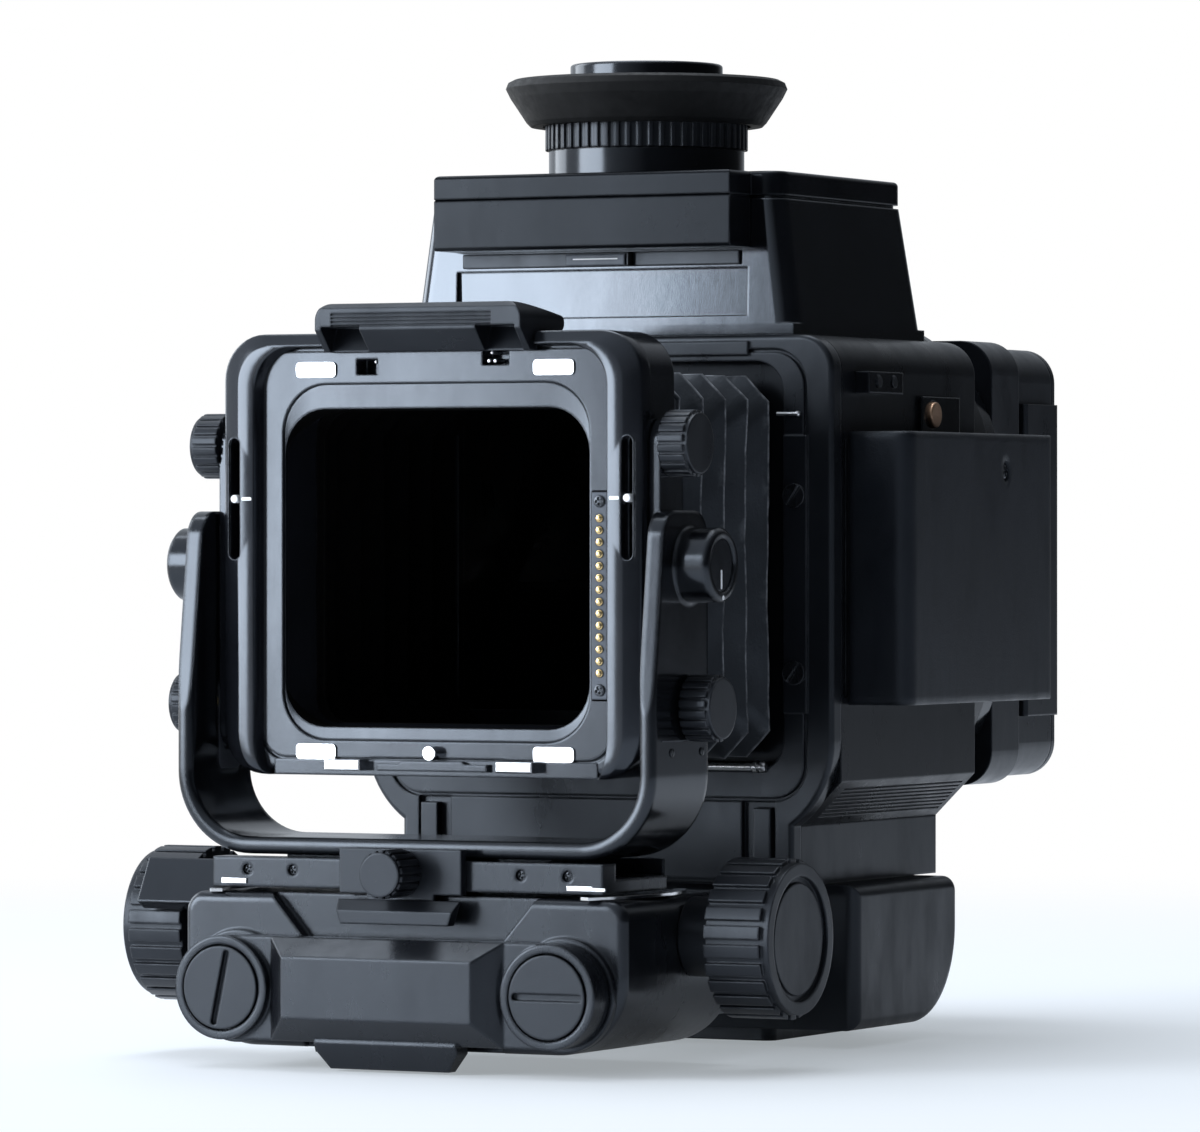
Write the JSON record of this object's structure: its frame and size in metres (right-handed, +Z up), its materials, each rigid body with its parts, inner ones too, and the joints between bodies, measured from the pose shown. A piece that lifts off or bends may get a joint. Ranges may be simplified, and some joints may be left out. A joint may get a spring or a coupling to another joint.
{
  "type": "bellows camera",
  "caption": "Medium format bellows camera body with geared lens standard, pleated bellows, two-rail base, revolving film back and chimney magnifier finder.",
  "frame": {"origin": "centre of the tripod socket's mouth in the underside of the foot plate", "axes": "+Z up, -Y towards the lens side, +X on the right as the lens side is seen"},
  "size_m": [0.1764, 0.2679, 0.248],
  "materials": {
    "body_shell": "semi-gloss black",
    "black_metal": "semi-gloss black",
    "black_steel": "black, satin",
    "knob_plastic": "black, satin",
    "bright_metal": "polished",
    "gold": "gilt",
    "eyecup_rubber": "matte black",
    "glass": "clear",
    "mirror": "silvered",
    "bellows_cloth": "pleated, worn at the crests",
    "white_mark": "white"
  },
  "bodies": {
    "camera_body": {"body": "body_shell", "front_plate": "body_shell", "base": "body_shell", "foot_plate": "black_metal", "tripod_bushes": "gold", "rails": "black_steel", "cross_bar": "black_metal", "rail_caps": "black_metal", "battery_pack": "body_shell", "button_plate": "body_shell", "strap_lugs": "black_metal", "body_screws": "black_steel", "control_panel": "body_shell", "rear_flange": "body_shell", "finder": "body_shell", "finder_lid": "body_shell", "name_bar": "body_shell", "eyepiece_barrel": "black_metal", "eyecup": "eyecup_rubber", "magnifier_lens": "glass", "focusing_screen": "glass", "bellows": "bellows_cloth"},
    "carriage": {"carriage": "black_metal", "swing_scale": "bright_metal"},
    "focus_drive": {"focus_shaft": "black_steel", "focus_knob_left": "knob_plastic", "focus_knob_right": "knob_plastic"},
    "focus_lock": {"focus_lock": "knob_plastic"},
    "swing": {"swing_plate": "black_metal", "swing_pointers": "bright_metal", "lock_block": "black_metal"},
    "shift_lock": {"shift_lock_knob": "knob_plastic"},
    "yoke": {"yoke": "black_metal", "arm_plates": "black_metal"},
    "tilt_knob_left": {"tilt_knob_left": "knob_plastic"},
    "tilt_knob_right": {"tilt_knob_right": "knob_plastic"},
    "tilt": {"tilt_carriers": "black_metal", "index_pins": "white_mark"},
    "rise_knob_left": {"rise_knob_left": "knob_plastic"},
    "rise_knob_right": {"rise_knob_right": "knob_plastic"},
    "standard": {"lens_frame": "black_metal", "throat_frame": "black_metal", "mount_fittings": "bright_metal", "board_slider": "black_metal", "contact_strip": "knob_plastic", "contact_pins": "gold"},
    "latch": {"lens_latch": "black_metal"},
    "mirror": {"mirror_holder": "black_steel", "mirror": "mirror"},
    "battery_button": {"battery_button": "gold"},
    "shutter_dial": {"shutter_dial": "knob_plastic"},
    "release_button": {"release_button": "bright_metal"},
    "dioptre_ring": {"dioptre_ring": "knob_plastic"},
    "back": {"revolving_ring": "body_shell", "back_adapter": "body_shell", "film_back": "body_shell", "side_catch": "body_shell"},
    "door": {"film_door": "body_shell", "pressure_plate": "knob_plastic"},
    "spool": {"take_up_spool": "knob_plastic"}
  },
  "joints": [
    {"name": "focus", "type": "slide", "parent": "camera_body", "child": "carriage", "axis": [0, 1, 0], "range_m": [0, 0.042], "deforming": ["bellows"]},
    {"name": "focus_shaft_turn", "type": "hinge", "parent": "carriage", "child": "focus_drive", "pos_m": [0, -0.125, 0.032], "axis": [1, 0, 0], "range_deg": [-482, 0]},
    {"name": "focus_lock_turn", "type": "hinge", "parent": "carriage", "child": "focus_lock", "pos_m": [-0.065, -0.125, 0.032], "axis": [1, 0, 0], "range_deg": [0, 30]},
    {"name": "swing", "type": "hinge", "parent": "carriage", "child": "swing", "pos_m": [0, -0.138, 0.0445], "axis": [0, 0, 1], "range_deg": [-10, 10]},
    {"name": "shift_lock_turn", "type": "hinge", "parent": "swing", "child": "shift_lock", "pos_m": [0, -0.165, 0.0474], "axis": [0, -1, 0], "range_deg": [-90, 90]},
    {"name": "shift", "type": "slide", "parent": "swing", "child": "yoke", "axis": [1, 0, 0], "range_m": [-0.015, 0.015]},
    {"name": "tilt_knob_left_turn", "type": "hinge", "parent": "yoke", "child": "tilt_knob_left", "pos_m": [-0.067, -0.138, 0.087], "axis": [1, 0, 0], "range_deg": [-90, 90]},
    {"name": "tilt_knob_right_turn", "type": "hinge", "parent": "yoke", "child": "tilt_knob_right", "pos_m": [0.067, -0.138, 0.087], "axis": [1, 0, 0], "range_deg": [-90, 90]},
    {"name": "tilt", "type": "hinge", "parent": "yoke", "child": "tilt", "pos_m": [0, -0.138, 0.121], "axis": [1, 0, 0], "range_deg": [-12, 12]},
    {"name": "rise", "type": "slide", "parent": "tilt", "child": "standard", "axis": [0, 0, 1], "range_m": [-0.013, 0.013]},
    {"name": "rise_knob_left_turn", "type": "hinge", "parent": "tilt", "child": "rise_knob_left", "pos_m": [-0.062, -0.138, 0.15], "axis": [1, 0, 0], "range_deg": [-187, 187]},
    {"name": "rise_knob_right_turn", "type": "hinge", "parent": "tilt", "child": "rise_knob_right", "pos_m": [0.062, -0.138, 0.15], "axis": [1, 0, 0], "range_deg": [-187, 187]},
    {"name": "latch_lift", "type": "hinge", "parent": "standard", "child": "latch", "pos_m": [0, -0.133, 0.1792], "axis": [-1, 0, 0], "range_deg": [0, 25]},
    {"name": "mirror_swing", "type": "hinge", "parent": "camera_body", "child": "mirror", "pos_m": [0, 0.022, 0.166], "axis": [-1, 0, 0], "range_deg": [0, 45]},
    {"name": "battery_button_press", "type": "slide", "parent": "camera_body", "child": "battery_button", "axis": [-1, 0, 0], "range_m": [0, 0.0012], "stiffness_N_per_m": 400},
    {"name": "shutter_dial_turn", "type": "hinge", "parent": "camera_body", "child": "shutter_dial", "pos_m": [-0.07, 0.002, 0.15], "axis": [-1, 0, 0], "continuous": true},
    {"name": "release_press", "type": "slide", "parent": "camera_body", "child": "release_button", "axis": [1, 0, 0], "range_m": [0, 0.0018], "stiffness_N_per_m": 400},
    {"name": "dioptre_turn", "type": "hinge", "parent": "camera_body", "child": "dioptre_ring", "pos_m": [0, -0.031, 0.23], "axis": [0, 0, 1], "range_deg": [-60, 60]},
    {"name": "back_revolve", "type": "hinge", "parent": "camera_body", "child": "back", "pos_m": [0, 0.042, 0.121], "axis": [0, 1, 0], "range_deg": [0, 90]},
    {"name": "door_swing", "type": "hinge", "parent": "back", "child": "door", "pos_m": [-0.0614, 0.08915, 0.121], "axis": [0, 0, 1], "range_deg": [0, 110]},
    {"name": "spool_turn", "type": "hinge", "parent": "back", "child": "spool", "pos_m": [-0.044, 0.0772, 0.121], "axis": [0, 0, 1], "continuous": true}
  ],
  "couplings": [
    {"joint": "focus_shaft_turn", "follows": "focus", "rad_per_m": -200},
    {"joint": "rise_knob_left_turn", "follows": "rise", "rad_per_m": 250},
    {"joint": "rise_knob_right_turn", "follows": "rise", "rad_per_m": 250}
  ]
}
